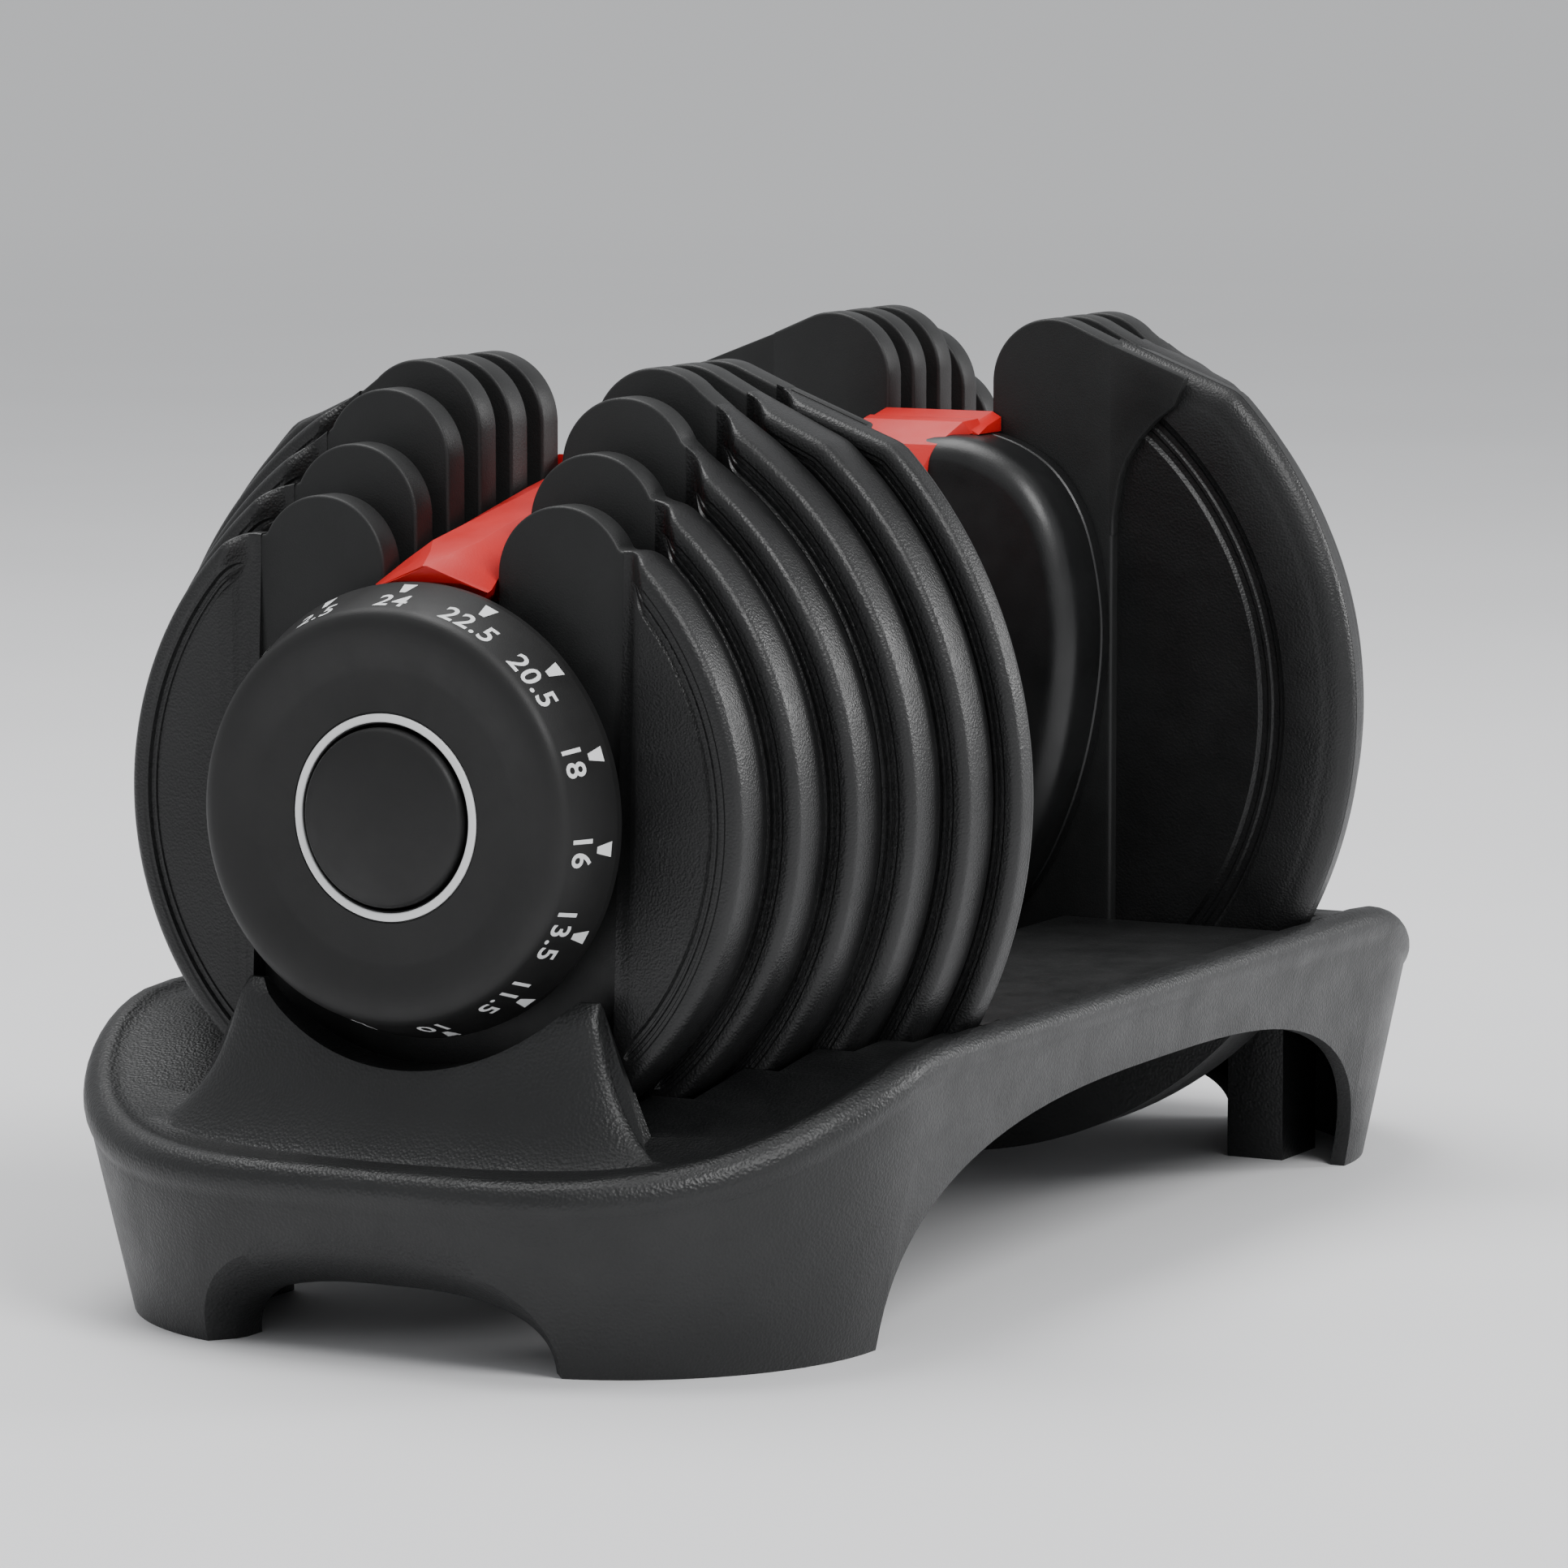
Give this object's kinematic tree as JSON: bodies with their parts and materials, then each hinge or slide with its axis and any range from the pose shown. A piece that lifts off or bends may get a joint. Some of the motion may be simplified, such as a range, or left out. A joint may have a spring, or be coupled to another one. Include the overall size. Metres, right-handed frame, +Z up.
{
  "type": "adjustable dumbbell in cradle tray",
  "caption": "Adjustable dumbbell resting in its cradle tray: notched weight plates each side of a grip, numbered selector dials, red pointer bridges.",
  "frame": {"origin": "middle of the tray, on the surface it stands on", "axes": "+X along the handle, +Y across it, +Z up; the front end is at -X"},
  "size_m": [0.434, 0.2312, 0.226],
  "materials": {
    "tray_plastic": "moulded, fine pebble texture",
    "plate_coating": "pebbled satin coating on steel",
    "dial_plastic": "satin moulded",
    "guard_plastic": "semi-gloss moulded",
    "pointer_red": "satin red moulded",
    "grip_rubber": "matt moulded rubber",
    "disc_nylon": "satin moulded nylon",
    "bright_steel": "machined and plated",
    "spring_steel": "drawn spring steel"
  },
  "bodies": {
    "tray": {"tray_shell": "tray_plastic"},
    "handle": {"axle": "bright_steel", "grip_sleeve": "grip_rubber", "front_guard_shell": "guard_plastic", "front_guard_cover": "guard_plastic", "front_guard_screw_1": "bright_steel", "front_guard_screw_2": "bright_steel", "front_index_spring": "spring_steel", "front_yoke_spring": "spring_steel", "front_pointer_bridge": "pointer_red", "front_dial_washer": "bright_steel", "front_dial_screw": "bright_steel", "rear_guard_shell": "guard_plastic", "rear_guard_cover": "guard_plastic", "rear_guard_screw_1": "bright_steel", "rear_guard_screw_2": "bright_steel", "rear_index_spring": "spring_steel", "rear_yoke_spring": "spring_steel", "rear_pointer_bridge": "pointer_red", "rear_dial_washer": "bright_steel", "rear_dial_screw": "bright_steel"},
    "front_dial_set": {"front_dial": "dial_plastic", "front_dial_cap": "dial_plastic", "front_star_wheel": "bright_steel", "front_selector_disc_1": "disc_nylon", "front_selector_disc_2": "disc_nylon", "front_selector_disc_3": "disc_nylon", "front_selector_disc_4": "disc_nylon", "front_selector_disc_5": "disc_nylon", "front_selector_disc_6": "disc_nylon"},
    "front_lock": {"front_lock_yoke": "disc_nylon"},
    "front_plate_1": {"front_plate_1": "plate_coating"},
    "front_plate_2": {"front_plate_2": "plate_coating"},
    "front_plate_3": {"front_plate_3": "plate_coating"},
    "front_plate_4": {"front_plate_4": "plate_coating"},
    "front_plate_5": {"front_plate_5": "plate_coating"},
    "front_plate_6": {"front_plate_6": "plate_coating"},
    "rear_dial_set": {"rear_dial": "dial_plastic", "rear_dial_cap": "dial_plastic", "rear_star_wheel": "bright_steel", "rear_selector_disc_1": "disc_nylon", "rear_selector_disc_2": "disc_nylon", "rear_selector_disc_3": "disc_nylon", "rear_selector_disc_4": "disc_nylon", "rear_selector_disc_5": "disc_nylon", "rear_selector_disc_6": "disc_nylon"},
    "rear_lock": {"rear_lock_yoke": "disc_nylon"},
    "rear_plate_1": {"rear_plate_1": "plate_coating"},
    "rear_plate_2": {"rear_plate_2": "plate_coating"},
    "rear_plate_3": {"rear_plate_3": "plate_coating"},
    "rear_plate_4": {"rear_plate_4": "plate_coating"},
    "rear_plate_5": {"rear_plate_5": "plate_coating"},
    "rear_plate_6": {"rear_plate_6": "plate_coating"}
  },
  "joints": [
    {"name": "handle_lift", "type": "slide", "parent": "tray", "child": "handle", "axis": [0, 0, 1], "range_m": [0, 0.2]},
    {"name": "front_dial_turn", "type": "hinge", "parent": "handle", "child": "front_dial_set", "pos_m": [0, 0, 0.126], "axis": [1, 0, 0], "continuous": true},
    {"name": "front_lock_drop", "type": "slide", "parent": "handle", "child": "front_lock", "axis": [0, 0, 1], "range_m": [-0.0036, 0], "deforming": ["front_yoke_spring"]},
    {"name": "front_plate_1_lift", "type": "slide", "parent": "tray", "child": "front_plate_1", "axis": [0, 0, 1], "range_m": [0, 0.2]},
    {"name": "front_plate_2_lift", "type": "slide", "parent": "tray", "child": "front_plate_2", "axis": [0, 0, 1], "range_m": [0, 0.2]},
    {"name": "front_plate_3_lift", "type": "slide", "parent": "tray", "child": "front_plate_3", "axis": [0, 0, 1], "range_m": [0, 0.2]},
    {"name": "front_plate_4_lift", "type": "slide", "parent": "tray", "child": "front_plate_4", "axis": [0, 0, 1], "range_m": [0, 0.2]},
    {"name": "front_plate_5_lift", "type": "slide", "parent": "tray", "child": "front_plate_5", "axis": [0, 0, 1], "range_m": [0, 0.2]},
    {"name": "front_plate_6_lift", "type": "slide", "parent": "tray", "child": "front_plate_6", "axis": [0, 0, 1], "range_m": [0, 0.2]},
    {"name": "rear_dial_turn", "type": "hinge", "parent": "handle", "child": "rear_dial_set", "pos_m": [0, 0, 0.126], "axis": [1, 0, 0], "continuous": true},
    {"name": "rear_lock_drop", "type": "slide", "parent": "handle", "child": "rear_lock", "axis": [0, 0, 1], "range_m": [-0.0036, 0], "deforming": ["rear_yoke_spring"]},
    {"name": "rear_plate_1_lift", "type": "slide", "parent": "tray", "child": "rear_plate_1", "axis": [0, 0, 1], "range_m": [0, 0.2]},
    {"name": "rear_plate_2_lift", "type": "slide", "parent": "tray", "child": "rear_plate_2", "axis": [0, 0, 1], "range_m": [0, 0.2]},
    {"name": "rear_plate_3_lift", "type": "slide", "parent": "tray", "child": "rear_plate_3", "axis": [0, 0, 1], "range_m": [0, 0.2]},
    {"name": "rear_plate_4_lift", "type": "slide", "parent": "tray", "child": "rear_plate_4", "axis": [0, 0, 1], "range_m": [0, 0.2]},
    {"name": "rear_plate_5_lift", "type": "slide", "parent": "tray", "child": "rear_plate_5", "axis": [0, 0, 1], "range_m": [0, 0.2]},
    {"name": "rear_plate_6_lift", "type": "slide", "parent": "tray", "child": "rear_plate_6", "axis": [0, 0, 1], "range_m": [0, 0.2]}
  ],
  "couplings": [
    {"joint": "front_lock_drop", "follows": "handle_lift", "ratio": -0.018},
    {"joint": "front_plate_1_lift", "follows": "handle_lift", "ratio": 1},
    {"joint": "front_plate_2_lift", "follows": "handle_lift", "ratio": 1},
    {"joint": "front_plate_3_lift", "follows": "handle_lift", "ratio": 1},
    {"joint": "front_plate_4_lift", "follows": "handle_lift", "ratio": 1},
    {"joint": "front_plate_5_lift", "follows": "handle_lift", "ratio": 1},
    {"joint": "front_plate_6_lift", "follows": "handle_lift", "ratio": 1},
    {"joint": "rear_lock_drop", "follows": "handle_lift", "ratio": -0.018},
    {"joint": "rear_plate_1_lift", "follows": "handle_lift", "ratio": 1},
    {"joint": "rear_plate_2_lift", "follows": "handle_lift", "ratio": 1},
    {"joint": "rear_plate_3_lift", "follows": "handle_lift", "ratio": 1},
    {"joint": "rear_plate_4_lift", "follows": "handle_lift", "ratio": 1},
    {"joint": "rear_plate_5_lift", "follows": "handle_lift", "ratio": 1},
    {"joint": "rear_plate_6_lift", "follows": "handle_lift", "ratio": 1}
  ]
}
